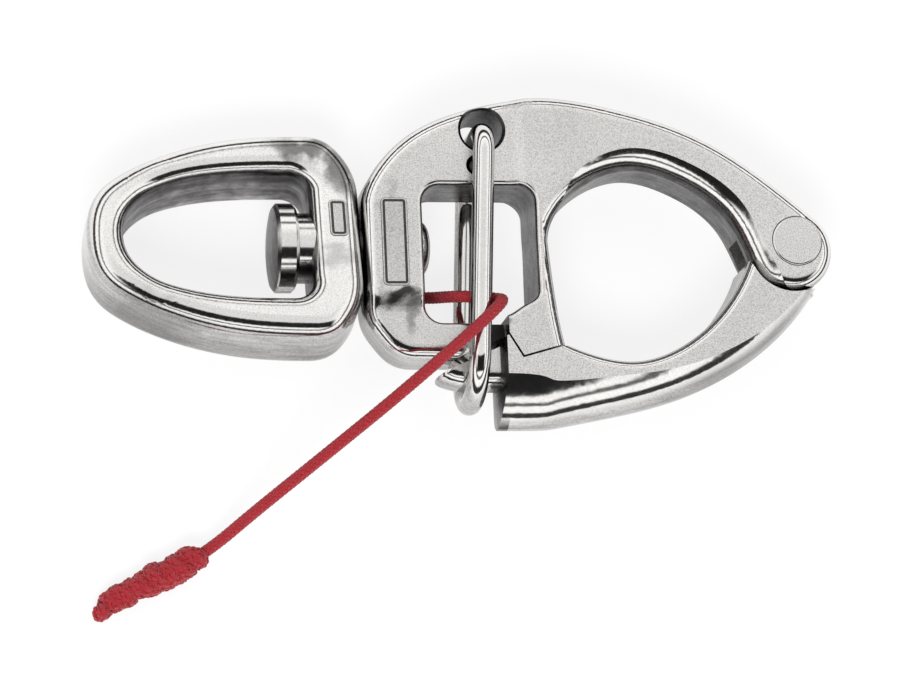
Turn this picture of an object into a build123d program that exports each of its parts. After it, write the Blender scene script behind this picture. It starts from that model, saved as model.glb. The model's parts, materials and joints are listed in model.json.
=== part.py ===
from build123d import *
import os
from math import cos, radians, sin, tan

# Swivel snap hook in polished stainless steel with a pull lanyard. Millimetres, +Z up.
# The hook lies on its side: the swivel axis runs along X, the eye is at -X, the gate pivot at +X,
# and the trigger ring's hinge is on the +Y side. Profiles are drawn on the mid plane, measured
# from the point where the swivel axis crosses the middle of the length.

# overall
half_length = 45.0
crown_height = 17.95
belly_depth = 22.2

# body
body_thick = 10.0
lug_thick = 8.6
web_thick = 5.2
lug_face_x = -12.15
lug_shoulder_y = 4.6
lug_heel_y = -7.6
lug_corner_x = 6.2
lug_curl_x = 1.6
lug_curl_y = 2.7
arm_bottom_y = -14.3
arm_thick = 7.4
arm_ramp_top_y = -5.6
arm_ramp_bottom_y = -9.2
ramp_start_x = 5.6
ramp_end_x = 8.4
body_round = 1.7

# window behind the hook opening
window_left_x = -5.0
window_right_x = 8.6
window_top_y = 6.9
window_bottom_y = -9.9
window_corner = 2.2
window_round = 0.6

# strut between window and hook opening, and its foot with the V seat for the gate
strut_right_x = 10.15
foot_left_x = 4.75
foot_corner_y = -11.4
foot_curl_top_y = -6.0
foot_curl_x = 6.9
foot_curl_y = -7.9
foot_lip = 0.7
web_left_x = 1.6
vee_x = 6.4
vee_y = -14.2
foot_right_x = 11.7
foot_right_y = -12.7
arm_slope = 24.0
hook_top_y = 9.2
hook_round_wide = 2.2
hook_round_deep = 2.6

# pivot
pivot_inset = 4.5
pivot_d = 6.2
pivot_clearance = 0.06
rivet_fit = 0.02
rivet_proud = 0.12
rivet_round = 0.3
boss_r = 5.1
boss_drop = 0.9
slot_width = 4.0
slot_r = 6.8
knuckle_r = 4.3
knuckle_clearance = 0.1
neck_angles = (212, 292)  # the neck's sides, seen from the rivet

# gate
gate_gap = 0.25
gate_end_x = 3.7
gate_end_bow = 1.1
gate_top_x = 11.0
gate_top_y = -9.0
gate_inner_y = -14.7
gate_inner_round = 1.2
gate_bevel_wide = 5.8
gate_bevel_narrow = 1.3
tongue_width = 5.6
tongue_tip_x = -3.7
tongue_root_x = 4.8
tongue_under_y = -17.4
tongue_round = 2.0
tongue_heel_x = 0.6
tongue_curl_x = -2.2
tongue_curl_y = 0.45
tongue_arm_gap = 0.9

# trigger ring
wire_d = 2.6
ring_half_width = 5.75
ring_hole_x = 2.6
ring_hole_y = 13.75
ring_hole_d = 5.1
hole_break = 0.3
ring_hinge_y = 13.35
ring_lean = 3.4
ring_top_bend = 2.5
ring_tongue_gap = 0.25

# detent in the beam behind the ring's legs
detent_x = 1.8
detent_y = 9.3
detent_d = 2.6
detent_clearance = 0.04
detent_leg_gap = 0.03
spring_wire_d = 0.4
spring_turns = 4

# swivel
swivel_gap = 0.2
eye_tilt = -11.5
eye_thick = 9.6
eye_half_width = 13.35
eye_shoulder_x = -18.6
eye_window_x = -18.4
eye_wall = 5.15
eye_flat_half = 5.4
eye_curl_x = 1.83
eye_curl_y = 5.62
eye_corner = 2.4
eye_bow = 4.3
eye_round = 2.2
eye_inner_round = 1.9
eye_round_lap = 0.25  # how far the inner rounding may run into the outer one
eye_boss_r = 4.2
pin_d = 6.0
pin_clearance = 0.06
pin_fit = 0.02
pin_head_d = 10.7
pin_head_thick = 2.6
pin_head_gap = 0.15
pin_seat_x = -19.85
pin_dome = 1.3
pin_head_dome = 0.5
pin_head_break = 0.4
peen_over = 0.5

# lanyard
cord_d = 1.7
knot_d = 5.0
knot_length = 13.5

axis_y = (belly_depth - crown_height) / 2
eye_window_half = eye_half_width - eye_wall
pivot_x = half_length - pivot_inset
axis_z = ring_half_width + wire_d / 2


def at(x, y, z=0.0):
    """A point measured from the swivel axis, in the part's frame."""
    return (x, y + axis_y, z + axis_z)


mid = Plane(origin=at(0, 0))


def across(x):
    """A plane square to the swivel axis at x."""
    return Plane(origin=at(x, 0), x_dir=(0, 1, 0), z_dir=(1, 0, 0))


boss_x = half_length - boss_r
arm_rise = tan(radians(arm_slope))
arm_notch_x = foot_left_x - (foot_corner_y - arm_bottom_y) / arm_rise


def crown_point(along, rise):
    """A point on the crown: a share of the way from lug to boss, and of the crown's height."""
    return (lug_face_x + along * (boss_x - lug_face_x), rise * crown_height)


def throat_point(along, rise):
    """A point round the hook opening: a share of the way from strut to boss, and of its height."""
    return (strut_right_x + along * (boss_x - strut_right_x), rise * hook_top_y)


def belly_point(along, drop):
    """A point on the gate's outer edge: a share of the way to the tip, and of the belly's depth."""
    return (gate_end_x + along * (half_length - gate_end_x), -drop * belly_depth)


def inner_point(along, drop):
    """A point on the gate's inner edge: a share of the way from foot to pivot, and of its depth."""
    return (foot_right_x + along * (pivot_x - foot_right_x), drop * gate_inner_y)


def bow_point(along, rise):
    """A point on the eye's outer edge: a share of the way from shoulder to end, and of half width."""
    return (eye_shoulder_x - along * (half_length + eye_shoulder_x), rise * eye_half_width)


def boss_point(angle, extra=0.0):
    """A point on the round boss at the gate pivot."""
    r = boss_r + extra
    return (boss_x + r * cos(radians(angle)), -boss_drop + r * sin(radians(angle)))


crown_join = 50.0
throat_join = 205.0


def is_crown_rim(edge):
    """Rim edges along the outside of the body, from boss over crown and lug to the arm's notch."""
    middle = edge.center() - Vector(*at(0, 0))
    start = edge @ 0 - Vector(*at(0, 0))
    end = edge @ 1 - Vector(*at(0, 0))
    off_mid = min(abs(start.Z), abs(end.Z)) > arm_thick / 2 - 0.1
    outside = middle.Y > hook_top_y + 1.5 or middle.X < window_left_x / 2
    outside = outside or middle.X > boss_x
    flat_end = abs(start.Y - end.Y) < 0.001 and abs(start.Y + window_corner) < 0.01
    return off_mid and outside and not flat_end


with BuildLine() as throat_line:
    Spline(
        boss_point(throat_join),
        throat_point(0.775, 0.207),
        throat_point(0.583, 0.783),
        throat_point(0.3815, 1.0),
        throat_point(0.173, 0.804),
        (strut_right_x, 0),
        tangents=[
            (sin(radians(throat_join)), -cos(radians(throat_join))),
            (0, -1),
        ],
        tangent_scalars=[0.7, 0.9],
    )
hook_levels = [(0.0, 1.0), (0.27, 0.45), (1.0, -0.02)]
hook_widths = [
    (0.04, -0.05),
    (0.12, 0.2),
    (0.25, 0.75),
    (0.42, 1.0),
    (0.6, 1.0),
    (0.8, 1.0),
    (0.97, 1.0),
]
boss_widths = [(225, 0.95), (250, 0.55), (275, 0.1), (285, -0.05)]


def hook_rim(share):
    """Region cut away round the hook opening, a share of the rounding's width beyond its edge."""
    outer = []
    for place, part in hook_widths:
        way = throat_line.edge() % (1 - place)
        spot = throat_line.edge() @ (1 - place)
        step = share * part * hook_round_wide
        outer.append((spot.X + way.Y * step, spot.Y - way.X * step))
    for angle, part in boss_widths:
        outer.append(boss_point(angle, -share * part * hook_round_wide))
    with BuildSketch() as region:
        with BuildLine():
            Spline(*outer)
            Polyline(
                outer[-1],
                (boss_x - boss_r, -belly_depth),
                (strut_right_x + boss_r, -belly_depth),
                outer[0],
            )
        make_face()
    return region.sketch_local


# ---- side profile shared by the body and, one gap wider, by the gate that closes on it
with BuildSketch(mid) as body_profile:
    with BuildLine():
        crown = Spline(
            (lug_face_x, lug_shoulder_y),
            crown_point(0.074, 0.646),
            crown_point(0.2565, 0.925),
            crown_point(0.414, 1.0),
            crown_point(0.5985, 0.925),
            crown_point(0.8636, 0.618),
            boss_point(crown_join),
            tangents=[(0, 1), (sin(radians(crown_join)), -cos(radians(crown_join)))],
            tangent_scalars=[0.8, 0.6],
        )
        boss = ThreePointArc(boss_point(crown_join), boss_point(-60), boss_point(throat_join))
        add(throat_line.line)
        strut_edge = Spline(
            (strut_right_x, 0),
            (foot_right_x, foot_right_y),
            tangents=[(0.08, -1), (0.22, -0.98)],
        )
        Polyline(
            (foot_right_x, foot_right_y),
            (vee_x, vee_y),
            (foot_left_x, foot_corner_y),
            (arm_notch_x, arm_bottom_y),
            (lug_face_x + lug_corner_x, arm_bottom_y),
        )
        Spline(
            (lug_face_x + lug_corner_x, arm_bottom_y),
            (lug_face_x + lug_curl_x, arm_bottom_y + lug_curl_y),
            (lug_face_x, lug_heel_y),
            tangents=[(-1, 0), (0, 1)],
        )
        Line((lug_face_x, lug_heel_y), (lug_face_x, lug_shoulder_y))
    make_face()

# ---- shackle body: beam, swivel lug, lower arm, strut and fork in one forging
far = 2 * half_length

with BuildPart() as shackle_body:
    add(body_profile.sketch.moved(Location((0, 0, -body_thick / 2))))
    extrude(amount=body_thick)
    # the lug's faces lie below the beam's, joined by a soft ramp, and the arm's below the lug's
    with BuildSketch(Plane(origin=at(0, -window_corner), x_dir=(1, 0, 0), z_dir=(0, -1, 0))):
        with BuildLine():
            Polyline(
                (ramp_end_x, body_thick / 2),
                (ramp_end_x, body_thick),
                (lug_face_x - body_round, body_thick),
                (lug_face_x - body_round, lug_thick / 2),
                (ramp_start_x, lug_thick / 2),
            )
            Spline(
                (ramp_start_x, lug_thick / 2),
                (ramp_end_x, body_thick / 2),
                tangents=[(1, 0), (1, 0)],
            )
        make_face()
        mirror(about=Plane.XZ)
    extrude(amount=-far, mode=Mode.SUBTRACT)
    with BuildSketch(across(lug_face_x - body_round)):
        with BuildLine():
            Polyline(
                (arm_ramp_bottom_y, arm_thick / 2),
                (-far, arm_thick / 2),
                (-far, body_thick),
                (-window_corner, body_thick),
                (-window_corner, lug_thick / 2),
                (arm_ramp_top_y, lug_thick / 2),
            )
            Spline(
                (arm_ramp_top_y, lug_thick / 2),
                (arm_ramp_bottom_y, arm_thick / 2),
                tangents=[(-1, 0), (-1, 0)],
            )
        make_face()
        mirror(about=Plane.XZ)
    extrude(amount=foot_left_x - lug_face_x + body_round, mode=Mode.SUBTRACT)
    crown_rims = shackle_body.edges().filter_by(is_crown_rim)
    fillet(crown_rims, body_round)
    # rounding round the top of the hook opening, on both faces, running out at the strut and the pivot
    for side in (1, -1):
        for depth, share in hook_levels:
            with BuildSketch(mid.offset(side * (body_thick / 2 - depth * hook_round_deep))):
                add(hook_rim(share))
        loft(mode=Mode.SUBTRACT)
    # window, with its lower right corner closed by the strut's foot
    with BuildSketch(mid.offset(-body_thick)) as window:
        with BuildLine():
            Polyline(
                (window_left_x, window_bottom_y),
                (window_left_x, window_top_y),
                (window_right_x, window_top_y),
                (window_right_x, foot_curl_top_y),
            )
            Spline(
                (window_right_x, foot_curl_top_y),
                (foot_curl_x, foot_curl_y),
                (foot_left_x, window_bottom_y + foot_lip),
                tangents=[(0, -1), (-1, -0.35)],
            )
            Polyline(
                (foot_left_x, window_bottom_y + foot_lip),
                (foot_left_x, window_bottom_y),
                (window_left_x, window_bottom_y),
            )
        make_face()
        corners = window.vertices().filter_by(
            lambda v: v.X < window_left_x + 0.1 or v.Y > window_top_y - 0.1
        )
        fillet(corners, window_corner)
    extrude(amount=2 * body_thick, mode=Mode.SUBTRACT)
    rims = shackle_body.edges().filter_by(
        lambda e: window_left_x - 0.1 < e.center().X < window_right_x + 0.1
        and window_bottom_y - 0.1 < e.center().Y - axis_y < window_top_y + 0.1
        and abs(e.center().Z - axis_z) > lug_thick / 2 - 0.1
        and e.length > 2
    )
    fillet(rims, window_round)
    # thin web between arm and foot, let in on both faces
    for side in (1, -1):
        with BuildSketch(mid.offset(side * web_thick / 2)):
            with BuildLine():
                Polyline(
                    (web_left_x, window_bottom_y + 1),
                    (foot_left_x, window_bottom_y + 1),
                    (foot_left_x, foot_corner_y - 1),
                    (web_left_x, arm_bottom_y),
                    close=True,
                )
            make_face()
        extrude(amount=side * body_thick, mode=Mode.SUBTRACT)
    # fork slot and rivet hole
    with Locations(at(pivot_x, 0)):
        Cylinder(slot_r, slot_width, mode=Mode.SUBTRACT)
        Cylinder(pivot_d / 2, 2 * body_thick, mode=Mode.SUBTRACT)
    # hinge hole of the trigger ring and cross hole of its detent
    with Locations(at(ring_hole_x, ring_hole_y)):
        Cylinder(ring_hole_d / 2, 2 * body_thick, mode=Mode.SUBTRACT)
    with Locations(at(detent_x, detent_y)):
        Cylinder(detent_d / 2, 2 * body_thick, mode=Mode.SUBTRACT)
    hole_rims = shackle_body.edges().filter_by(GeomType.CIRCLE).filter_by(
        lambda e: abs(e.radius - ring_hole_d / 2) < 0.01 and abs(e.center().Z - axis_z) > web_thick / 2
    )
    chamfer(hole_rims, hole_break)
    # bore of the swivel pin
    with BuildSketch(across(lug_face_x - 1)):
        Circle(pin_d / 2 + pin_fit)
    extrude(amount=window_left_x - lug_face_x + 2, mode=Mode.SUBTRACT)
shackle_body.part.label = "shackle_body"

# ---- gate: curved arm, knuckle in the fork, tongue under the arm
belly_shares = [
    (0.9926, 0.099),
    (0.9363, 0.302),
    (0.8186, 0.536),
    (0.6814, 0.712),
    (0.5417, 0.829),
    (0.3995, 0.905),
    (0.1912, 0.982),
    (0.0, 1.0),
]
with BuildLine() as belly_line:
    Spline(*[belly_point(*share) for share in belly_shares], tangents=[(-0.3, -1), (-1, 0)])
bevel_levels = [(0.0, 1.0), (0.15, 0.66), (0.38, 0.32), (0.70, 0.085), (1.0, -0.03)]


def belly_rim(share):
    """Region cut away outside the gate's belly, a share of the bevel's width in from its edge."""
    places = [0.0, 0.12, 0.25, 0.4, 0.55, 0.7, 0.85, 1.0]
    outer = []
    for place in places:
        width = gate_bevel_narrow + (gate_bevel_wide - gate_bevel_narrow) * place**1.6
        way = belly_line.edge() % place
        spot = belly_line.edge() @ place
        outer.append((spot.X - way.Y * -width * share, spot.Y + way.X * -width * share))
    start = (outer[0][0] + 0.3, outer[0][1] + 3.0)
    end = (outer[-1][0] - 2.0, outer[-1][1])
    low = -belly_depth - 6.0
    beyond = half_length + 6.0
    with BuildSketch() as region:
        with BuildLine():
            Polyline(start, outer[0])
            Spline(*outer, tangents=[(-0.3, -1), (-1, 0)])
            Polyline(outer[-1], end, (end[0], low), (beyond, low), (beyond, start[1]), start)
        make_face()
    return region.sketch_local


with BuildSketch(mid) as gate_blank:
    with BuildLine():
        Polyline(
            (gate_end_x, -belly_depth),
            (gate_end_x, gate_top_y),
            (gate_top_x, gate_top_y),
            (foot_right_x + 0.1, foot_right_y),
        )
        Spline(
            (foot_right_x + 0.1, foot_right_y),
            inner_point(0.1215, 0.952),
            inner_point(0.302, 1.0),
            inner_point(0.4757, 0.891),
            inner_point(0.6458, 0.633),
            inner_point(0.7535, 0.34),
            inner_point(0.7951, 0.163),
        )
        Polyline(
            inner_point(0.7951, 0.163),
            (pivot_x - 3.5, -1.4),
            (pivot_x, 3.0),
            belly_point(0.9926, 0.099),
        )
        add(belly_line.line)
    make_face()
with BuildSketch(mid) as gate_face:
    add(gate_blank.sketch_local)
    with BuildSketch(mode=Mode.PRIVATE) as seat:
        with BuildLine():
            Polyline(
                (gate_end_x - 1, foot_corner_y - (foot_left_x - gate_end_x + 1) * arm_rise),
                (foot_left_x, foot_corner_y),
                (vee_x, vee_y),
                (foot_right_x, foot_right_y),
                (foot_right_x - 0.6, gate_top_y),
                (gate_end_x - 1, gate_top_y + 1),
                close=True,
            )
        make_face()
        offset(amount=gate_gap, kind=Kind.INTERSECTION)
        with Locations((boss_x, -boss_drop)):
            Circle(boss_r + gate_gap)
    add(seat.sketch, mode=Mode.SUBTRACT)

with BuildPart() as gate:
    add(gate_face.sketch.faces().sort_by(SortBy.AREA)[-1].moved(Location((0, 0, -body_thick / 2))))
    extrude(amount=body_thick)
    rims = gate.edges().filter_by(Plane.XY).filter_by(GeomType.BSPLINE)
    fillet(rims.filter_by(lambda e: e.center().Y - axis_y > gate_inner_y), gate_inner_round)
    for side in (1, -1):
        for depth, share in bevel_levels:
            with BuildSketch(mid.offset(side * body_thick / 2 * (1 - depth))):
                add(belly_rim(share))
        loft(mode=Mode.SUBTRACT)
    # the end beside the ring is bowed
    bow_reach = body_thick / 2 + gate_end_bow
    with BuildSketch(Plane(origin=at(gate_end_x, 0), x_dir=(1, 0, 0), z_dir=(0, -1, 0))):
        with BuildLine():
            ThreePointArc((gate_end_bow, bow_reach), (0, 0), (gate_end_bow, -bow_reach))
            Polyline(
                (gate_end_bow, -bow_reach),
                (-gate_end_bow, -bow_reach),
                (-gate_end_bow, bow_reach),
                (gate_end_bow, bow_reach),
            )
        make_face()
    extrude(amount=far, mode=Mode.SUBTRACT)
    # knuckle and neck between the cheeks of the fork
    neck_thick = slot_width - 2 * knuckle_clearance
    with BuildSketch(mid.offset(-neck_thick / 2)):
        with Locations((pivot_x, 0)):
            Circle(slot_r - 3 * knuckle_clearance)
            Polygon(
                (0, 0),
                (2 * slot_r * cos(radians(neck_angles[0])), 2 * slot_r * sin(radians(neck_angles[0]))),
                (2 * slot_r * cos(radians(neck_angles[1])), 2 * slot_r * sin(radians(neck_angles[1]))),
                align=None,
                mode=Mode.INTERSECT,
            )
            Circle(knuckle_r)
    extrude(amount=neck_thick)
    with Locations(at(pivot_x, 0)):
        Cylinder(pivot_d / 2 + pivot_clearance, 2 * body_thick, mode=Mode.SUBTRACT)
    # tongue
    tongue_top_y = foot_corner_y - tongue_arm_gap
    nose_x = tongue_tip_x + 0.25
    tongue_nose = (nose_x, tongue_top_y + (nose_x - foot_left_x) * arm_rise)
    with BuildSketch(mid.offset(-tongue_width / 2)) as tongue:
        with BuildLine():
            Polyline(
                tongue_nose,
                (tongue_root_x, tongue_top_y + (tongue_root_x - foot_left_x) * arm_rise),
                (tongue_root_x, tongue_under_y),
                (tongue_heel_x, tongue_under_y),
            )
            Spline(
                (tongue_heel_x, tongue_under_y),
                (tongue_curl_x, tongue_under_y + tongue_curl_y),
                tongue_nose,
                tangents=[(-1, 0), (0.2, 1)],
            )
        make_face()
    tongue_solid = extrude(amount=tongue_width, mode=Mode.PRIVATE)
    under = tongue_solid.edges().filter_by(
        lambda e: abs(abs(e.center().Z - axis_z) - tongue_width / 2) < 0.01
        and e.center().Y - axis_y < tongue_under_y + 0.6
        and e.center().X < gate_end_x
    )
    add(tongue_solid.fillet(tongue_round, under))
gate.part.label = "gate"

# ---- rivet: plain pin, set flush in both cheeks
with BuildPart() as gate_rivet:
    with BuildSketch(mid.offset(-body_thick / 2 - rivet_proud)):
        with Locations((pivot_x, 0)):
            Circle(pivot_d / 2 - rivet_fit)
    extrude(amount=body_thick + 2 * rivet_proud)
    fillet(gate_rivet.edges().filter_by(GeomType.CIRCLE), rivet_round)
gate_rivet.part.label = "gate_rivet"

# ---- trigger ring: closed link of round wire, square at the hinge and half round at the bottom
ring_centre_y = ring_hinge_y - tongue_under_y + ring_tongue_gap + wire_d / 2
ring_length = ring_centre_y / cos(radians(ring_lean))
ring_plane = Plane(
    origin=at(ring_hole_x, ring_hinge_y),
    x_dir=(0, 0, 1),
    z_dir=(-cos(radians(ring_lean)), sin(radians(ring_lean)), 0),
)
with BuildPart() as trigger_ring:
    with BuildLine(ring_plane) as ring_path:
        leg_top = (ring_half_width, -ring_top_bend)
        leg_foot = (ring_half_width, ring_half_width - ring_length)
        Line((0, 0), (ring_half_width - ring_top_bend, 0))
        RadiusArc((ring_half_width - ring_top_bend, 0), leg_top, ring_top_bend)
        Line(leg_top, leg_foot)
        RadiusArc(leg_foot, (0, -ring_length), ring_half_width)
    with BuildSketch(Plane(origin=ring_plane.origin, z_dir=ring_plane.x_dir)):
        Circle(wire_d / 2)
    sweep()
    mirror(about=mid)
trigger_ring.part.label = "trigger_ring"

# ---- detent: two balls pushed outwards by a spring, under the ring's legs
ball_r = detent_d / 2 - detent_clearance
ball_top = ring_half_width - wire_d / 2 - detent_leg_gap
spring_half = ball_top - 2 * ball_r
with BuildPart() as detent_ball_front:
    with Locations(at(detent_x, detent_y, ball_top - ball_r)):
        Sphere(ball_r)
detent_ball_front.part.label = "detent_ball_front"
with BuildPart() as detent_ball_rear:
    with Locations(at(detent_x, detent_y, ball_r - ball_top)):
        Sphere(ball_r)
detent_ball_rear.part.label = "detent_ball_rear"
coil_r = detent_d / 2 - detent_clearance - spring_wire_d / 2
coil_reach = spring_half - spring_wire_d / 2
with BuildPart() as detent_spring:
    with BuildLine(mid) as coil:
        Helix(
            pitch=2 * coil_reach / spring_turns,
            height=2 * coil_reach,
            radius=coil_r,
            center=(detent_x, detent_y, -coil_reach),
        )
    with BuildSketch(Plane(origin=coil.line @ 0, z_dir=coil.line % 0)):
        Circle(spring_wire_d / 2)
    sweep(is_frenet=True)
detent_spring.part.label = "detent_spring"

# ---- swivel eye
eye_plane = Plane(
    origin=at(0, 0),
    x_dir=(1, 0, 0),
    z_dir=(0, -sin(radians(eye_tilt)), cos(radians(eye_tilt))),
)
eye_face_x = lug_face_x - swivel_gap
with BuildPart() as swivel_eye:
    with BuildSketch(eye_plane.offset(-eye_thick / 2)) as eye_profile:
        with BuildLine():
            Line((eye_face_x, -eye_flat_half), (eye_face_x, eye_flat_half))
            Spline(
                (eye_face_x, eye_flat_half),
                (eye_face_x - eye_curl_x, eye_flat_half + eye_curl_y),
                (eye_shoulder_x, eye_half_width),
                tangents=[(0, 1), (-1, 0)],
            )
            Spline(
                (eye_shoulder_x, eye_half_width),
                bow_point(0.5455, 0.8614),
                bow_point(0.8561, 0.5768),
                (-half_length, 0),
                tangents=[(-1, 0), (0, -1)],
            )
            mirror(about=Plane.XZ)
        make_face()
        with BuildSketch(mode=Mode.PRIVATE) as eye_window:
            with BuildLine():
                corner_y = eye_window_half - eye_corner
                Line((eye_window_x, -corner_y), (eye_window_x, corner_y))
                corner_end = (eye_window_x - eye_corner, eye_window_half)
                RadiusArc((eye_window_x, corner_y), corner_end, -eye_corner)
                Spline(
                    corner_end,
                    (-half_length + eye_bow, 0),
                    tangents=[(-1, 0), (0, -1)],
                    tangent_scalars=[1.0, 1.1],
                )
                mirror(about=Plane.XZ)
            make_face()
        add(eye_window.sketch, mode=Mode.SUBTRACT)
    extrude(amount=eye_thick)
    flats = swivel_eye.faces().filter_by(eye_plane)
    fillet([e for f in flats for e in f.outer_wire().edges()], eye_round)
    # the rounding inside the window takes what the bar's thinnest wall leaves it
    bar = eye_profile.sketch.face()
    thin_wall = bar.outer_wire().distance_to(bar.inner_wires()[0])
    flats = swivel_eye.faces().filter_by(eye_plane)
    window_rims = [e for f in flats for w in f.inner_wires() for e in w.edges()]
    fillet(window_rims, min(eye_inner_round, thin_wall - eye_round + eye_round_lap))
    # boss round the pin, on the inside of the bar
    with BuildSketch(across(pin_seat_x)):
        Circle(eye_boss_r)
    extrude(amount=eye_window_x - pin_seat_x + eye_inner_round)
    with BuildSketch(across(pin_seat_x - 1)):
        Circle(pin_d / 2 + pin_clearance)
    extrude(amount=eye_face_x - pin_seat_x + 2, mode=Mode.SUBTRACT)
swivel_eye.part.label = "swivel_eye"

# ---- swivel pin: domed head in the eye, shank through eye and lug, peened over in the window
pin_face_x = pin_seat_x - pin_head_gap
with BuildPart() as swivel_pin:
    with BuildSketch(Plane(origin=at(0, 0), x_dir=(1, 0, 0), z_dir=(0, -1, 0))):
        with BuildLine():
            head_x = pin_face_x - pin_head_thick
            peen_r = pin_d / 2 + peen_over
            Polyline(
                (head_x - pin_head_dome, 0),
                (window_left_x + pin_dome, 0),
            )
            Spline((window_left_x + pin_dome, 0), (window_left_x, peen_r), tangents=[(0, 1), (-1, 0.3)])
            Polyline(
                (window_left_x, peen_r),
                (window_left_x, pin_d / 2),
                (pin_face_x, pin_d / 2),
                (pin_face_x, pin_head_d / 2 - pin_head_break),
                (pin_face_x - pin_head_break, pin_head_d / 2),
                (head_x + pin_head_break, pin_head_d / 2),
                (head_x, pin_head_d / 2 - 0.5),
            )
            Spline(
                (head_x, pin_head_d / 2 - 0.5),
                (head_x - pin_head_dome, 0),
                tangents=[(-0.25, -1), (0, -1)],
            )
        make_face()
    revolve(axis=Axis(at(0, 0), (1, 0, 0)))
swivel_pin.part.label = "swivel_pin"

# ---- lanyard: from behind the lug, through the window, round the ring's front leg and away
lanyard_route = [
    at(-9.5, -3.9, -5.65),
    at(-4.7, -4.5, -5.6),
    at(-0.6, -6.6, 3.45),
    at(3.7, -6.95, 3.5),
    at(3.9, -8.4, 8.05),
    at(-8.27, -17.84, 8.1),
    at(-17.35, -24.97, 5.5),
    at(-25.6, -31.15, -0.9),
    at(-29.7, -34.58, -4.53),
    at(-31.65, -35.6, -4.53),
]
lanyard_bends = [2.5, 1.9, 1.9, 2.1, 25.0, 20.0, 6.0, 4.0]
with BuildPart() as lanyard:
    with BuildLine() as lanyard_line:
        FilletPolyline(*lanyard_route, radius=lanyard_bends)
    with BuildSketch(Plane(origin=lanyard_line.line @ 0, z_dir=lanyard_line.line % 0)):
        Circle(cord_d / 2)
    sweep()
lanyard.part.label = "lanyard"
print("cord length", round(lanyard_line.wires()[0].length, 2), "bend radii", lanyard_bends)

# ---- knot: wrapped barrel at the free end, lying on the table
knot_way = Vector(-12.55, -6.55, 0).normalized()
knot_plane = Plane(origin=lanyard_route[-1], x_dir=knot_way, z_dir=(0, 0, 1))
with BuildPart() as lanyard_knot:
    with BuildSketch(knot_plane):
        with BuildLine():
            Line((0, 0), (0, 0.3 * knot_d))
            Spline(
                (0, 0.3 * knot_d),
                (0.16 * knot_length, 0.48 * knot_d),
                (0.5 * knot_length, 0.47 * knot_d),
                (0.8 * knot_length, 0.36 * knot_d),
                (knot_length, 0),
                tangents=[(0.4, 1), (0, -1)],
            )
            Line((knot_length, 0), (0, 0))
        make_face()
    revolve(axis=Axis(knot_plane.origin, knot_way))
lanyard_knot.part.label = "lanyard_knot"

os.makedirs("parts", exist_ok=True)
export_step(shackle_body.part, "parts/shackle_body.step")
export_step(gate.part, "parts/gate.step")
export_step(gate_rivet.part, "parts/gate_rivet.step")
export_step(trigger_ring.part, "parts/trigger_ring.step")
export_step(detent_ball_front.part, "parts/detent_ball_front.step")
export_step(detent_ball_rear.part, "parts/detent_ball_rear.step")
export_step(detent_spring.part, "parts/detent_spring.step")
export_step(swivel_eye.part, "parts/swivel_eye.step")
export_step(swivel_pin.part, "parts/swivel_pin.step")
export_step(lanyard.part, "parts/lanyard.step")
export_step(lanyard_knot.part, "parts/lanyard_knot.step")
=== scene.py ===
import bpy
import json
import math
import random
import numpy as np
from mathutils import Matrix, Vector


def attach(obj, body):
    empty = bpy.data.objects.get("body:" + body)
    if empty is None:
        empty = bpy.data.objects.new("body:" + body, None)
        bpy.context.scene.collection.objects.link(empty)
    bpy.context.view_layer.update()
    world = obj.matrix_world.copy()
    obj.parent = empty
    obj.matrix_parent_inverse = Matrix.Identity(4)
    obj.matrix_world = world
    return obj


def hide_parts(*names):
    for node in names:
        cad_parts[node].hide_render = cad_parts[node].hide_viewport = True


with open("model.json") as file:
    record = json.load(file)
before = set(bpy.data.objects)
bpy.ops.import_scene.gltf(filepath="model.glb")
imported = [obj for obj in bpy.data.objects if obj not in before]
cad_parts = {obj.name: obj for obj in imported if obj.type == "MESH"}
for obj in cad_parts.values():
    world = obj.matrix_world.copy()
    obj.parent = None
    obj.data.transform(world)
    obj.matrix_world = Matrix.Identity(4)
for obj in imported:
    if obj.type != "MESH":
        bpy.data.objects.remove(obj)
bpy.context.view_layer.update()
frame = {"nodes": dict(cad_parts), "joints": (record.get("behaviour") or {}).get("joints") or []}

MM = 0.001
WHITE = (1.0, 1.0, 1.0, 1.0)
swivel = next(joint for joint in frame["joints"] if joint["name"] == "eye_swivel")
AXIS_Y, AXIS_Z = (place / MM for place in swivel["pos_m"][1:])  # where the swivel axis runs, mm
LUG_FACE = 4.3  # the lug's upper face above the swivel axis
EYE_FACE = 4.8  # the eye's upper face above the swivel axis, square to the eye
EYE_TILT = math.radians(-11.5)


def at(x, y, z=0.0):
    """A point given from the swivel axis, mm, in the frame's metres."""
    return Vector((x, y + AXIS_Y, z + AXIS_Z)) * MM


# ---------------------------------------------------------------- camera
# it looks down on the part, swung towards -x, leaned towards -y, then rolled
TURN = math.radians(11.0)
LEAN = math.radians(14.6)
ROLL = math.radians(2.5)
DISTANCE = 0.6
LENS_MM = 196.70588
SENSOR_MM = 36.0
SHIFT_X = -0.000403
SHIFT_Y = -0.078606
TARGET = at(0.0, -1.9)
right = Vector((math.cos(TURN), 0, math.sin(TURN)))
up = Vector((-math.sin(TURN) * math.sin(LEAN), math.cos(LEAN), math.cos(TURN) * math.sin(LEAN)))
back = Vector((-math.sin(TURN) * math.cos(LEAN), -math.sin(LEAN), math.cos(TURN) * math.cos(LEAN)))
cam_x = math.cos(ROLL) * right - math.sin(ROLL) * up
cam_y = math.sin(ROLL) * right + math.cos(ROLL) * up
camera_data = bpy.data.cameras.new("camera")
camera_data.sensor_width = SENSOR_MM
camera_data.lens = LENS_MM
camera_data.shift_x = SHIFT_X
camera_data.shift_y = SHIFT_Y
camera_data.clip_start = 0.05
camera_data.clip_end = 20.0
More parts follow.
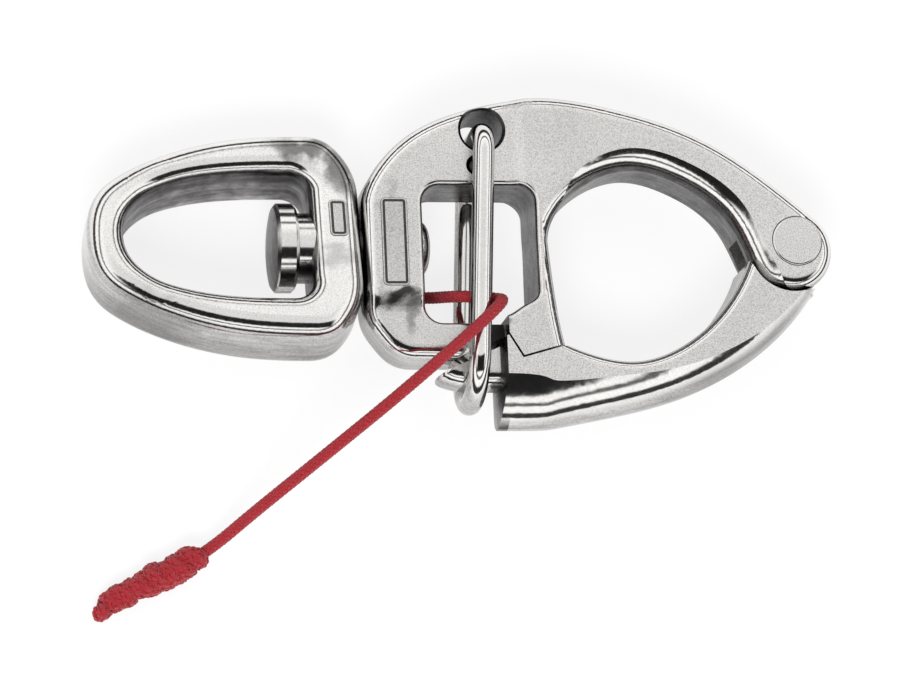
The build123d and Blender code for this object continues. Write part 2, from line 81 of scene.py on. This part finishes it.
camera = bpy.data.objects.new("camera", camera_data)
bpy.context.scene.collection.objects.link(camera)
axes = Matrix((cam_x, cam_y, back)).transposed().to_4x4()
camera.matrix_world = Matrix.Translation(TARGET + back * DISTANCE) @ axes
bpy.context.scene.camera = camera


# ---------------------------------------------------------------- node helpers
class Nodes:
    """A short way to write a node tree."""

    def __init__(self, tree):
        self.tree = tree
        tree.nodes.clear()

    def add(self, kind, inputs=None, **settings):
        node = self.tree.nodes.new(kind)
        for key, value in settings.items():
            setattr(node, key, value)
        for key, value in (inputs or {}).items():
            if isinstance(value, bpy.types.NodeSocket):
                self.tree.links.new(value, node.inputs[key])
            else:
                node.inputs[key].default_value = value
        return node

    def math(self, operation, a, b=0.0, c=0.0):
        return self.add("ShaderNodeMath", {0: a, 1: b, 2: c}, operation=operation).outputs[0]

    def ramp(self, factor, stops):
        """A colour or a grey that follows stops, each (place, value), as factor goes from 0 to 1."""
        node = self.add("ShaderNodeValToRGB", {"Fac": factor})
        elements = node.color_ramp.elements
        while len(elements) < len(stops):
            elements.new(0.5)
        for element, (place, value) in zip(elements, stops):
            element.position = place
            element.color = (*value, 1.0) if hasattr(value, "__len__") else (value, value, value, 1.0)
        return node.outputs["Color"]

    def noise(self, vector, scale, detail, roughness):
        node = self.add(
            "ShaderNodeTexNoise",
            {"Vector": vector, "Scale": scale, "Detail": detail, "Roughness": roughness},
        )
        return node.outputs["Fac"]

    def span(self, value, ends):
        """value from 0.3 to 0.7 as a number between the two ends."""
        node = self.add(
            "ShaderNodeMapRange",
            {"Value": value, "From Min": 0.3, "From Max": 0.7, "To Min": ends[0], "To Max": ends[1]},
        )
        return node.outputs[0]

    def soft_step(self, value, start, end, top=1.0):
        """0 where value is at start, rising softly to top where it is at end."""
        node = self.add(
            "ShaderNodeMapRange",
            {"Value": value, "From Min": start, "From Max": end, "To Max": top},
            interpolation_type="SMOOTHSTEP",
        )
        return node.outputs[0]

    def vector(self, operation, a, b):
        return self.add("ShaderNodeVectorMath", {0: a, 1: b}, operation=operation).outputs[0]

    def scaled(self, a, factor):
        return self.add("ShaderNodeVectorMath", {0: a, "Scale": factor}, operation="SCALE").outputs[0]

    def dot(self, a, b):
        return self.add("ShaderNodeVectorMath", {0: a, 1: b}, operation="DOT_PRODUCT").outputs["Value"]

    def length(self, a):
        return self.add("ShaderNodeVectorMath", {0: a}, operation="LENGTH").outputs["Value"]

    def mix(self, factor, a, b, blend="MIX"):
        inputs = {0: factor, 6: a, 7: b}
        return self.add("ShaderNodeMix", inputs, data_type="RGBA", blend_type=blend).outputs[2]

    def multiply(self, a, b):
        return self.mix(1.0, a, b, "MULTIPLY")

    def finish(self, shader, kind="ShaderNodeOutputMaterial"):
        """Joins the last shader to the tree's output."""
        output = self.add(kind)
        self.tree.links.new(shader.outputs[0], output.inputs["Surface"])


def new_material(name):
    """An empty material and its node tree."""
    material = bpy.data.materials.new(name)
    material.use_nodes = True
    return material, Nodes(material.node_tree)


def dress(obj, material):
    """Gives a solid of the frame one material."""
    obj.data.materials.clear()
    obj.data.materials.append(material)


def seen_from(n, place, x, y, half_x, half_y):
    """Where a point lies as seen from the middle of a region, whose edge is at 1. Sizes in mm."""
    off = n.vector("SUBTRACT", place, at(x, y))
    return n.vector("MULTIPLY", off, (1 / (half_x * MM), 1 / (half_y * MM), 0.0))


def in_ovals(n, place, ovals):
    """1 inside any oval, each (x, y, half width, half height) in mm, else 0."""
    inside = 0.0
    for oval in ovals:
        reach = n.length(seen_from(n, place, *oval))
        inside = n.math("MAXIMUM", inside, n.math("LESS_THAN", reach, 1.0))
    return inside


def in_boxes(n, place, boxes):
    """1 inside any rectangle, each (x, y, half width, half height) in mm, else 0."""
    inside = 0.0
    for box in boxes:
        sides = n.add("ShaderNodeSeparateXYZ", {0: seen_from(n, place, *box)}).outputs
        reach = n.math("MAXIMUM", n.math("ABSOLUTE", sides[0]), n.math("ABSOLUTE", sides[1]))
        inside = n.math("MAXIMUM", inside, n.math("LESS_THAN", reach, 1.0))
    return inside


def ragged_shade(n, place, ovals):
    """How much painted shade lies in soft ragged ovals.

    Each oval is (x, y, half width, half height, strength), sizes in mm.
    """
    rag = n.add("ShaderNodeTexNoise", {"Vector": place, "Scale": 420.0, "Detail": 4.0}).outputs["Color"]
    rag = n.scaled(n.vector("SUBTRACT", rag, (0.5, 0.5, 0.5)), RAG_WIDTH * MM)
    ragged = n.vector("ADD", place, rag)
    most = 0.0
    for *oval, strength in ovals:
        reach = n.length(seen_from(n, ragged, *oval))
        most = n.math("MAXIMUM", most, n.soft_step(reach, 1.3, 0.4, strength))
    return most


# ---------------------------------------------------------------- steel
TINT = (0.86, 0.845, 0.825)  # warm grey of polished stainless steel
# near black of the painted shade patches
SHADE_BLACK = (0.03, 0.03, 0.032, 1.0)
SATIN_FACING = (0.955, 0.992)  # how squarely a surface faces up where the satin starts and is full
WALL_FACING = (0.70, 0.35)  # the same for walls
SLOPE_FACING = 0.8  # surfaces that face up more than this are satin too inside satin_boxes
STREAK_STRETCH = 7.0  # streaks run along a wall this many times further than across it
RAG_WIDTH = 5.0  # how ragged the outlines of the painted shade patches are, mm
GRAIN_DEPTH = 0.0032  # mm
# painted reflection bands: brightness up a wall, from about 5 mm below the swivel axis to 5 mm above it
WALL_REFLECTION_BANDS = [(0.0, 0.90), (0.12, 0.88), (0.16, 0.45), (0.22, 0.58), (0.45, 0.64), (0.75, 0.84), (1.0, 0.62)]
# painted shade on the darkened walls by height: even on the body and gate, painted reflection bands on the
# eye
SHADED_WALL = [(0.0, 0.34), (1.0, 0.34)]
EYE_WALL_REFLECTIONS = [(0.0, 1.0), (0.22, 0.95), (0.40, 0.45), (0.55, 0.75), (0.68, 0.25), (0.85, 0.40), (1.0, 0.15)]


def steel(
    name, flat=(0.26, 0.36), bright=(0.08, 0.13), face=(0, 0, 1), grain=1.0, tone=1.0, satin=1.0,
    satin_boxes=(), walls=(), boxes=(), shade_spots=(), shade_patches=(), shaded_walls=(), shade_bands=SHADED_WALL,
):
    """Forged stainless steel: rounded edges polished bright, flat faces satin with a fine grain.

    Walls carry painted reflection: bands of brightness along them. Walls inside the ovals walls and the
    rectangles boxes are rougher and take painted shade, a dark streaky colour, as does every surface
    inside the shade-spot ovals, darker still. The shade-patch and shaded-wall ovals are soft ragged
    patches of painted shade, on faces and on walls.
    """
    material, n = new_material(name)
    texture = n.add("ShaderNodeTexCoord").outputs
    place = texture["Object"]

    # which finish a surface has, and where painted shade goes
    facing = n.math("ABSOLUTE", n.dot(texture["Normal"], face))
    upward = n.math("GREATER_THAN", facing, SLOPE_FACING)
    sloping = n.math("MULTIPLY", in_boxes(n, place, satin_boxes), upward)
    flatness = n.math("MAXIMUM", n.soft_step(facing, *SATIN_FACING), sloping)
    flatness = n.math("MULTIPLY", flatness, satin)
    wall = n.soft_step(facing, *WALL_FACING)
    # surfaces in the shade-spot ovals take the darkest painted shade
    deep_shade = in_ovals(n, place, shade_spots)
    inside = n.math("MAXIMUM", in_ovals(n, place, walls), in_boxes(n, place, boxes))
    shaded_rough = n.math("MAXIMUM", n.math("MULTIPLY", inside, wall), deep_shade)
    # painted shade in soft ragged patches, on faces and on walls
    face_shade = n.math("MULTIPLY", ragged_shade(n, place, shade_patches), n.math("SUBTRACT", 1.0, wall))
    painted_dark = n.math("MAXIMUM", n.math("MULTIPLY", ragged_shade(n, place, shaded_walls), wall), face_shade)

    # textures of all finishes
    speck = n.noise(place, 6500.0, 4.0, 0.7)
    peel = n.noise(place, 1500.0, 3.0, 0.55)
    waves = n.noise(place, 240.0, 2.0, 0.5)
    cloud = n.noise(place, 110.0, 3.0, 0.55)
    level = n.dot(n.vector("SUBTRACT", place, at(0.0, 0.0)), face)
    layer = n.math("MULTIPLY_ADD", level, 100.0, n.math("MULTIPLY_ADD", waves, 0.10, 0.45))
    stretch = n.scaled(face, n.math("MULTIPLY", level, STREAK_STRETCH))
    streak = n.noise(n.vector("ADD", place, stretch), 190.0, 3.0, 0.6)

    # polished colour, then the walls' painted reflection bands
    coarse = n.ramp(speck, [(0.32, 0.50), (0.58, 1.0)])
    fine = n.ramp(speck, [(0.30, 0.80), (0.55, 1.0)])
    wash = n.ramp(cloud, [(0.3, 0.90), (0.7, 1.0)])
    tint = tuple(tone * share for share in TINT) + (1.0,)
    colour = n.multiply(n.multiply(n.mix(flatness, fine, coarse), wash), tint)
    wall_reflections = n.multiply(n.ramp(layer, WALL_REFLECTION_BANDS), n.ramp(streak, [(0.35, 0.72), (0.6, 1.0)]))
    colour = n.multiply(colour, n.mix(wall, WHITE, n.multiply(coarse, wall_reflections)))

    # painted shade for the chosen walls: a dark streaky colour by height, darker still in the shade-spot
    # ovals
    scale = n.ramp(n.noise(place, 500.0, 4.0, 0.6), [(0.3, (0.22, 0.21, 0.22)), (0.7, (0.70, 0.68, 0.68))])
    scale = n.multiply(n.multiply(scale, n.ramp(streak, [(0.35, 0.55), (0.6, 1.0)])), n.ramp(layer, shade_bands))
    scale = n.mix(deep_shade, scale, n.multiply(scale, (0.45, 0.45, 0.45, 1.0)))
    # painted shade: the chosen walls and spots take the dark colour, the ragged patches go near black
    colour = n.mix(painted_dark, n.mix(shaded_rough, colour, scale), SHADE_BLACK)

    rough_flat = n.span(speck, flat)
    rough_bright = n.span(peel, bright)
    rough = n.math("MULTIPLY_ADD", n.math("SUBTRACT", rough_flat, rough_bright), flatness, rough_bright)
    rough = n.math("MULTIPLY_ADD", shaded_rough, 0.18, rough)
    height = n.math("MULTIPLY_ADD", waves, 5.0, n.math("MULTIPLY", peel, 0.6))
    height = n.math("MULTIPLY_ADD", n.math("MULTIPLY", speck, flatness), 2.4, height)
    bump = n.add("ShaderNodeBump", {"Strength": 1.0, "Distance": GRAIN_DEPTH * grain * MM, "Height": height})
    surface = {"Base Color": colour, "Roughness": rough, "Normal": bump.outputs[0]}
    shader = n.add("ShaderNodeBsdfPrincipled", surface)
    shader.inputs["Metallic"].default_value = 1.0
    n.finish(shader)
    return material


# ---------------------------------------------------------------- lanyard
CORD_D = 1.5  # mm
# control points of its middle line, mm from the swivel axis: behind the lug, through the window,
# round the ring's front leg and down to the table
ROUTE = [
    (-9.5, -3.9, -6.1), (-4.2, -4.6, -6.15), (-0.6, -6.6, 3.45), (3.7, -6.95, 3.5),
    (3.9, -8.4, 8.2), (-8.27, -18.9, 8.15), (-17.35, -25.9, 5.5), (-25.6, -31.8, -0.9),
    (-29.7, -34.9, -4.7), (-31.65, -36.15, -4.7),
]


def spline(name, points):
    """A smooth curve with these control points, given as at() takes them."""
    data = bpy.data.curves.new(name, "CURVE")
    data.dimensions = "3D"
    data.resolution_u = 24
    line = data.splines.new("NURBS")
    line.points.add(len(points) - 1)
    for point, place in zip(line.points, points):
        point.co = (*at(*place), 1.0)
    line.order_u = 3
    line.use_endpoint_u = True
    curve = bpy.data.objects.new(name, data)
    bpy.context.scene.collection.objects.link(curve)
    return curve


def trace(curve, step):
    """Points along a curve, evenly spaced, metres."""
    bpy.context.view_layer.update()
    mesh = bpy.data.meshes.new_from_object(curve)
    raw = np.array([v.co for v in mesh.vertices], float)
    bpy.data.meshes.remove(mesh)
    return even(raw, step)


def even(raw, step):
    """The same line with evenly spaced points."""
    run = np.concatenate([[0.0], np.cumsum(np.linalg.norm(np.diff(raw[:, :3], axis=0), axis=1))])
    count = max(2, int(round(run[-1] / step)) + 1)
    marks = np.linspace(0.0, run[-1], count)
    return np.stack([np.interp(marks, run, column) for column in raw.T], axis=1)


def carried(points):
    """The directions along a line and twice across it at each point, carried along without twist."""
    along = np.gradient(points, axis=0)
    along /= np.linalg.norm(along, axis=1)[:, None]
    first = np.cross(along[0], (0.0, 0.0, 1.0))
    first /= np.linalg.norm(first)
    sides = [first]
    for k in range(1, len(points)):
        side = sides[-1] - along[k] * np.dot(sides[-1], along[k])
        sides.append(side / np.linalg.norm(side))
    sides = np.array(sides)
    return along, sides, np.cross(along, sides)


def tube(points, half_wide, half_high, sides, up_hint):
    """Vertices and faces of a tube of oval section round a line.

    half_wide and half_high are its half sizes at each point, across up_hint and along it.
    """
    along = np.gradient(points, axis=0)
    along /= np.linalg.norm(along, axis=1)[:, None]
    up_hint = up_hint - along * np.sum(up_hint * along, axis=1)[:, None]
    up_hint /= np.linalg.norm(up_hint, axis=1)[:, None]
    across = np.cross(along, up_hint)
    turn = np.arange(sides) * 2 * math.pi / sides
    ring = (
        points[:, None, :]
        + across[:, None, :] * (np.cos(turn)[None, :, None] * half_wide[:, None, None])
        + up_hint[:, None, :] * (np.sin(turn)[None, :, None] * half_high[:, None, None])
    )
    verts = ring.reshape(-1, 3)
    faces = []
    for k in range(len(points) - 1):
        for j in range(sides):
            a = k * sides + j
            b = k * sides + (j + 1) % sides
            faces.append((a, b, b + sides, a + sides))
    faces.append(tuple(range(sides))[::-1])
    faces.append(tuple((len(points) - 1) * sides + j for j in range(sides)))
    return verts, faces


def joined(parts):
    """Several meshes, each vertices and faces, as one."""
    verts, faces = [], []
    base = 0
    for part_verts, part_faces in parts:
        verts.append(part_verts)
        faces.extend(tuple(i + base for i in face) for face in part_faces)
        base += len(part_verts)
    return np.vstack(verts), faces


STRAND_LAP = 1.16  # strands are this much wider than their share of the cord's girth
PRESSED_WIDE = 1.35  # a cord wound on something is this much wider
PRESSED_HIGH = 0.78  # and this much lower


def braid(points, diameter, plaits=8, pitch=5.6, girth=None, pressed=None):
    """Strands of a plaited cord round a line: half of them turn each way, over one and under one.

    pressed gives the directions the cord is pressed flat in, where it is wound on something.
    """
    along, side, lift = carried(points)
    if pressed is not None:
        lift = pressed - along * np.sum(pressed * along, axis=1)[:, None]
        lift /= np.linalg.norm(lift, axis=1)[:, None]
        side = PRESSED_WIDE * np.cross(along, lift)
        lift = PRESSED_HIGH * lift
    run = np.concatenate([[0.0], np.cumsum(np.linalg.norm(np.diff(points, axis=0), axis=1))])
    pitch_m = pitch * MM
    radius = diameter * MM / 2
    swell = np.ones(len(points)) if girth is None else girth
    thick = 0.15 * radius
    wave = 0.11 * radius
    middle = radius - thick - wave
    slant = math.atan(2 * math.pi * middle / pitch_m)
    wide = STRAND_LAP * math.pi * middle / plaits * math.cos(slant)
    parts = []
    for way in (1, -1):
        for k in range(plaits):
            angle = 2 * math.pi * (k / plaits + way * run / pitch_m)
            over = way * np.cos(2 * math.pi * plaits * run / pitch_m)
            out = side * np.cos(angle)[:, None] + lift * np.sin(angle)[:, None]
            place = points + out * ((middle + wave * over) * swell)[:, None]
            parts.append(tube(place, wide * swell, thick * swell, 6, out))
    core = (middle - 0.2 * thick) * swell
    parts.append(tube(points, core, core, 12, lift))
    return joined(parts)


def mesh_piece(name, verts, faces, material, smooth=True):
    """A new object in the scene, of one material."""
    mesh = bpy.data.meshes.new(name)
    mesh.from_pydata([tuple(v) for v in verts], [], faces)
    mesh.validate()
    mesh.update()
    if smooth:
        mesh.polygons.foreach_set("use_smooth", [True] * len(mesh.polygons))
    piece = bpy.data.objects.new(name, mesh)
    bpy.context.scene.collection.objects.link(piece)
    mesh.materials.append(material)
    return piece


def cord_material():
    """Red polyester braid: fine filaments, a little sheen, darker between the strands."""
    material, n = new_material("red_braid")
    place = n.add("ShaderNodeTexCoord").outputs["Object"]
    fibre = n.noise(place, 9000.0, 3.0, 0.7)
    patch = n.noise(place, 900.0, 2.0, 0.5)
    reds = [(0.30, (0.140, 0.005, 0.010)), (0.52, (0.360, 0.012, 0.021)), (0.78, (0.560, 0.045, 0.055))]
    worn = n.mix(n.math("MULTIPLY", patch, 0.35), n.ramp(fibre, reds), (0.34, 0.010, 0.019, 1.0))
    bump = n.add("ShaderNodeBump", {"Strength": 0.8, "Distance": 0.05 * MM, "Height": fibre})
    shader = n.add("ShaderNodeBsdfPrincipled", {"Base Color": worn, "Normal": bump.outputs[0]})
    shader.inputs["Roughness"].default_value = 0.62
    shader.inputs["Sheen Weight"].default_value = 0.25
    shader.inputs["Sheen Roughness"].default_value = 0.4
    n.finish(shader)
    return material


red = cord_material()
route_curve = spline("lanyard_route", ROUTE)
cord_line = trace(route_curve, 0.12 * MM)
bpy.data.objects.remove(route_curve)
verts, faces = braid(cord_line, CORD_D)
lanyard = mesh_piece("lanyard_braid", verts, faces, red)
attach(lanyard, "shackle")
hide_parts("lanyard")

# knot at the far end: turns of the same cord wound back over itself, tightening towards its tip.
# Sizes in mm.
KNOT_LENGTH = 14.0
KNOT_DIRECTION = Vector((-12.55, -6.55, 0.0)).normalized()
KNOT_CORD_D = 1.75  # the cord swells where it is wound
KNOT_TURNS = 8.3
KNOT_RADIUS = 0.90  # of the wound line, before it swells and tapers
KNOT_START = 0.7  # first turn, from the knot's start
KNOT_TIP = 1.2  # from the last turn to the tip
KNOT_SINK = 0.75  # how far the thin tip lies below the start
KNOT_LUMPS = 0.22  # how much its radius varies
KNOT_DRIFT = 0.55  # how much its turns stray along it
KNOT_STEPS = 420
UNEVEN_SPOTS = 40
knot_start = Vector(ROUTE[-1])


def eased(values, t):
    """The value a share t of the way along a list, with soft steps between its entries."""
    cell = t * UNEVEN_SPOTS
    part = cell % 1
    ease = part * part * (3 - 2 * part)
    return values[int(cell)] * (1 - ease) + values[int(cell) + 1] * ease


def knot_turns():
    """The line of the knot's uneven turns, and the direction out of the knot at each of its points."""
    random.seed(11)
    side = Vector((-KNOT_DIRECTION.y, KNOT_DIRECTION.x, 0.0))
    rise = Vector((0.0, 0.0, 1.0))
    lumps = [random.uniform(-KNOT_LUMPS, KNOT_LUMPS) for _ in range(UNEVEN_SPOTS + 2)]
    drift = [random.uniform(-KNOT_DRIFT, KNOT_DRIFT) for _ in range(UNEVEN_SPOTS + 2)]
    line, outward = [], []
    for k in range(KNOT_STEPS + 1):
        t = k / KNOT_STEPS
        run = KNOT_START + (KNOT_LENGTH - KNOT_TIP) * t + eased(drift, t)
        angle = 2 * math.pi * KNOT_TURNS * t
        fullness = 0.24 * math.sin(math.pi * min(1.0, t / 0.62)) ** 0.8
        taper = 0.42 * max(0.0, (t - 0.7) / 0.3) ** 1.4
        radius = KNOT_RADIUS + fullness - taper + eased(lumps, t)
        place = (
            knot_start
            + KNOT_DIRECTION * run
            + side * (radius * 1.05 * math.cos(angle) + 0.16 * math.sin(7.0 * t))
            + rise * (radius * 0.95 * math.sin(angle) - KNOT_SINK * t)
        )
        line.append(at(*place))
        outward.append(side * math.cos(angle) + rise * math.sin(angle))
    line = even(np.hstack([np.array(line), np.array(outward)]), 0.13 * MM)
    return line[:, :3], line[:, 3:]


def knot_core(rings=25):
    """A plain core, so that nothing shows through between the turns."""
    points, radii = [], []
    for k in range(rings):
        t = k / (rings - 1)
        along = KNOT_DIRECTION * (KNOT_LENGTH - KNOT_TIP) * t
        points.append(at(*(knot_start + along - Vector((0, 0, KNOT_SINK * t)))))
        radii.append((0.55 + 0.3 * math.sin(math.pi * min(1.0, 1.5 * t))) * MM)
    return tube(np.array(points), np.array(radii), np.array(radii), 12, np.tile((0.0, 0.0, 1.0), (rings, 1)))


knot_line, knot_outward = knot_turns()
knot_girth = 1.0 + 0.05 * np.sin(np.linspace(0, 40, len(knot_line)))
knot_braid = braid(knot_line, KNOT_CORD_D, plaits=6, pitch=4.6, girth=knot_girth, pressed=knot_outward)
verts, faces = joined([knot_braid, knot_core()])
knot = mesh_piece("lanyard_knot_turns", verts, faces, red)
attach(knot, "shackle")
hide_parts("lanyard_knot")

# ---------------------------------------------------------------- metal parts
eye_face = (0.0, -math.sin(EYE_TILT), math.cos(EYE_TILT))
# painted shade and painted reflection: dark walls in the hook opening, the window and beside the ring's leg;
# dark spots at the ring hole and right of the leg; ragged dark patches on the lug and arm; dark walls in the
# gaps to the eye and the gate
body_steel = steel(
    "body_steel",
    satin_boxes=[(7.0, 13.0, 1.8, 6.0)],
    walls=[(24.5, -2.5, 15.5, 13.0)],
    boxes=[(1.8, -1.5, 7.6, 9.3), (3.2, -12.0, 1.5, 3.4)],
    shade_spots=[(2.6, 13.75, 2.9, 2.9), (3.3, -11.8, 1.35, 3.6)],
    shade_patches=[
        (3.6, -12.0, 1.0, 3.4, 0.9),
        (-8.2, -6.7, 2.3, 1.3, 0.95),
        (-6.7, -9.0, 1.0, 2.4, 0.5),
        (-9.2, 4.6, 0.9, 3.0, 0.22),
    ],
    shaded_walls=[(-12.1, 0.0, 1.0, 8.0, 0.97), (3.9, -12.6, 1.3, 4.2, 0.9)],
)
# painted shade on the gate's end face, and painted reflection darkening the outer wall of its belly
gate_steel = steel(
    "gate_steel", boxes=[(3.9, -16.0, 1.0, 8.0)], shaded_walls=[(34.0, -14.0, 13.0, 9.0, 0.45)],
)
# painted shade on the eye's inner walls and in the gap to the lug; ragged patches of painted shade and
# painted reflection on its faces and lower walls
eye_steel = steel(
    "eye_steel", bright=(0.10, 0.15), face=eye_face, grain=0.9, satin=0.35,
    walls=[(-29.5, 0.0, 11.8, 8.9)],
    boxes=[(-23.5, 0.0, 6.0, 9.5)],
    shade_patches=[
        (-18.6, 11.9, 4.6, 1.6, 0.75),
        (-14.6, 9.0, 1.9, 3.2, 0.75),
        (-15.4, -2.4, 2.4, 1.7, 0.30),
        (-39.0, -8.0, 4.0, 1.2, 0.25),
    ],
    shaded_walls=[(-12.5, 0.0, 1.0, 9.0, 0.97), (-38.0, -9.5, 7.0, 4.0, 0.4)],
    shade_bands=EYE_WALL_REFLECTIONS,
)
wire_steel = steel("wire_steel", bright=(0.07, 0.11), grain=0.5, satin=0.0)
# painted shade on the pin where it runs inside the eye and in the gap between lug and eye
pin_steel = steel(
    "pin_steel", bright=(0.10, 0.15), grain=0.5, satin=0.0,
    boxes=[(-23.2, 0.0, 0.85, 6.0)], shade_spots=[(-12.25, 0.0, 0.9, 6.0)],
)
# painted shade on the detent ball where it lies in its notch
ball_steel = steel("ball_steel", grain=0.5, shade_spots=[(1.8, 9.3, 2.0, 2.0)])
rivet_steel = steel("rivet_steel", flat=(0.30, 0.38))
FINISH = {
    "shackle_body": body_steel,
    "gate": gate_steel,
    "swivel_eye": eye_steel,
    "trigger_ring": wire_steel,
    "gate_rivet": rivet_steel,
    "swivel_pin": pin_steel,
    "detent_ball_front": ball_steel,
    "detent_ball_rear": ball_steel,
    "detent_spring": wire_steel,
}
for node, material in FINISH.items():
    dress(frame["nodes"][node], material)

# ---------------------------------------------------------------- bare panels
# a panel's section from its outer edge inwards: mm in from the edge, mm above the face under it
PANEL_STEPS = [
    (0.0, -0.05), (0.0, 0.04), (0.05, 0.09), (0.22, 0.10), (0.28, 0.03), (0.46, 0.03), (0.52, 0.09),
]
# painted shade: the outer edge and the groove take a near-black steel
PANEL_DARK_STEPS = (0, 1, 3, 4, 5)  # the outer edge and the groove
PANEL_CORNER = 0.55  # radius of its outer corners
PANEL_SHARPEST = 0.08  # and the least that its inner ones have
# painted shade: near-black steel for the panel's outer edge and groove
groove_shade_steel = steel("groove_shade_steel", flat=(0.40, 0.50), bright=(0.40, 0.50), tone=0.12)


def rounded(half_x, half_y, radius, steps=5):
    """Corner points of a rectangle with rounded corners, round its middle."""
    points = []
    for corner, (sx, sy) in enumerate(((1, 1), (-1, 1), (-1, -1), (1, -1))):
        for k in range(steps + 1):
            angle = math.pi / 2 * (corner + k / steps)
            x = sx * (half_x - radius) + radius * math.cos(angle)
            y = sy * (half_y - radius) + radius * math.sin(angle)
            points.append((x, y))
    return points


def panel(name, middle, half_x, half_y, level, tilt, body):
    """A plain panel of the forging, with a low raised border, standing just proud of the face that carries
    it.
    """
    normal = Vector((0.0, -math.sin(tilt), math.cos(tilt)))
    across = Vector((0.0, math.cos(tilt), math.sin(tilt)))
    verts, faces = [], []
    for inset, lift in PANEL_STEPS:
        outline = rounded(half_x - inset, half_y - inset, max(PANEL_CORNER - inset, PANEL_SHARPEST))
        count = len(outline)
        for x, y in outline:
            place = Vector((middle[0] + x, 0.0, 0.0)) + across * (middle[1] + y) + normal * (level + lift)
            verts.append(at(*place))
    for ring in range(len(PANEL_STEPS) - 1):
        for k in range(count):
            a, b = ring * count + k, ring * count + (k + 1) % count
            faces.append((a, b, b + count, a + count))
    faces.append(tuple((len(PANEL_STEPS) - 1) * count + k for k in range(count)))
    faces.append(tuple(range(count))[::-1])
    face_steel = steel(name + "_steel", flat=(0.30, 0.40), face=tuple(normal), tone=0.86)
    piece = mesh_piece(name, verts, faces, face_steel, smooth=False)
    piece.data.materials.append(groove_shade_steel)
    for k, polygon in enumerate(piece.data.polygons):
        polygon.material_index = int(k // count in PANEL_DARK_STEPS)
    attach(piece, body)


panel("lug_panel", (-8.45, -0.2), 1.60, 5.4, LUG_FACE, 0.0, "shackle")
panel("eye_panel", (-15.20, 1.70), 1.08, 2.40, EYE_FACE, EYE_TILT, "eye")

# ---------------------------------------------------------------- floor, world and lamps
HALF_FLOOR = 1.5
FLOOR_DROP = 0.00002  # keeps the floor just below what lies on it
GLOW_SEEN = 0.8  # share of plain white in the floor, as the camera sees it
GLOW_MIRRORED = 0.3  # and as the steel mirrors it
# brightness of the studio by height: dark horizon, two lit strips with a dark one between, ceiling
SKY = [
    (0.0, 0.03), (0.24, 0.04), (0.29, 1.2), (0.50, 1.25), (0.53, 0.10), (0.60, 0.10), (0.63, 1.25),
    (0.78, 1.18), (0.90, 0.93), (1.0, 0.90),
]

floor_data = bpy.data.meshes.new("floor")
floor_corners = [(x * HALF_FLOOR, y * HALF_FLOOR, 0) for x, y in ((-1, -1), (1, -1), (1, 1), (-1, 1))]
floor_data.from_pydata(floor_corners, [], [(0, 1, 2, 3)])
floor = bpy.data.objects.new("floor", floor_data)
bpy.context.scene.collection.objects.link(floor)
floor.location.z = -FLOOR_DROP
paper, n = new_material("paper")
place = n.add("ShaderNodeTexCoord").outputs["Object"]
fleck = n.noise(place, 400.0, 3.0, 0.6)
shader = n.add("ShaderNodeBsdfPrincipled", {"Base Color": n.ramp(fleck, [(0.0, 0.955), (1.0, 0.975)])})
shader.inputs["Roughness"].default_value = 0.9
shader.inputs["Specular IOR Level"].default_value = 0.0
glow = n.add("ShaderNodeEmission", {"Color": WHITE, "Strength": 1.0})
rays = n.add("ShaderNodeLightPath").outputs
bounced = n.math("MAXIMUM", rays["Is Glossy Ray"], rays["Is Transmission Ray"])
mirrored = n.math("MULTIPLY", bounced, GLOW_MIRRORED)
seen = n.math("MAXIMUM", n.math("MULTIPLY", rays["Is Camera Ray"], GLOW_SEEN), mirrored)
n.finish(n.add("ShaderNodeMixShader", {0: seen, 1: shader.outputs[0], 2: glow.outputs[0]}))
floor_data.materials.append(paper)

world = bpy.data.worlds.new("studio")
bpy.context.scene.world = world
world.use_nodes = True
n = Nodes(world.node_tree)
direction = n.add("ShaderNodeTexCoord").outputs["Generated"]
parts = n.add("ShaderNodeSeparateXYZ", {0: direction}).outputs
height = n.ramp(parts[2], SKY)


def band(centre, half, soft, front, reach):
    """A dark card: a strip at a height angle, on the side that front points to, no longer than reach."""
    tilt = math.radians(centre)
    side = n.dot(direction, front)
    along = n.dot(direction, (-front[1], front[0], 0.0))
    off = n.math("MULTIPLY_ADD", parts[2], math.cos(tilt), n.math("MULTIPLY", side, -math.sin(tilt)))
    strip = n.ramp(n.math("ABSOLUTE", off), [(half, 1.0), (half + soft, 0.0)])
    ahead = n.ramp(side, [(0.0, 0.0), (0.1, 1.0)])
    middle = n.ramp(n.math("ABSOLUTE", along), [(reach, 1.0), (reach + 0.12, 0.0)])
    return n.math("MULTIPLY", n.math("MULTIPLY", strip, ahead), middle)


card = band(centre=64.0, half=0.25, soft=0.03, front=(0.0, -1.0, 0.0), reach=0.55)
sky = n.mix(card, height, (0.015, 0.015, 0.015, 1.0))
background = n.add("ShaderNodeBackground", {"Color": sky, "Strength": 1.0})
white = n.add("ShaderNodeBackground", {"Color": WHITE, "Strength": 1.0})
seen = n.add("ShaderNodeLightPath").outputs["Is Camera Ray"]
backdrop = n.add("ShaderNodeMixShader", {0: seen, 1: background.outputs[0], 2: white.outputs[0]})
n.finish(backdrop, "ShaderNodeOutputWorld")


def lamp(name, place, aim, size, watts):
    """An area lamp that points at aim. Metres."""
    data = bpy.data.lights.new(name, "AREA")
    data.shape = "RECTANGLE"
    data.size, data.size_y = size
    data.energy = watts
    obj = bpy.data.objects.new(name, data)
    bpy.context.scene.collection.objects.link(obj)
    obj.location = place
    obj.rotation_euler = (Vector(aim) - Vector(place)).to_track_quat("-Z", "Y").to_euler()
    return obj


key = lamp("key", (-0.15, -0.45, 0.60), (0, 0, 0), (0.35, 0.25), 4.0)
key.visible_glossy = False

# ---------------------------------------------------------------- finish
bpy.context.scene.view_settings.view_transform = "Standard"
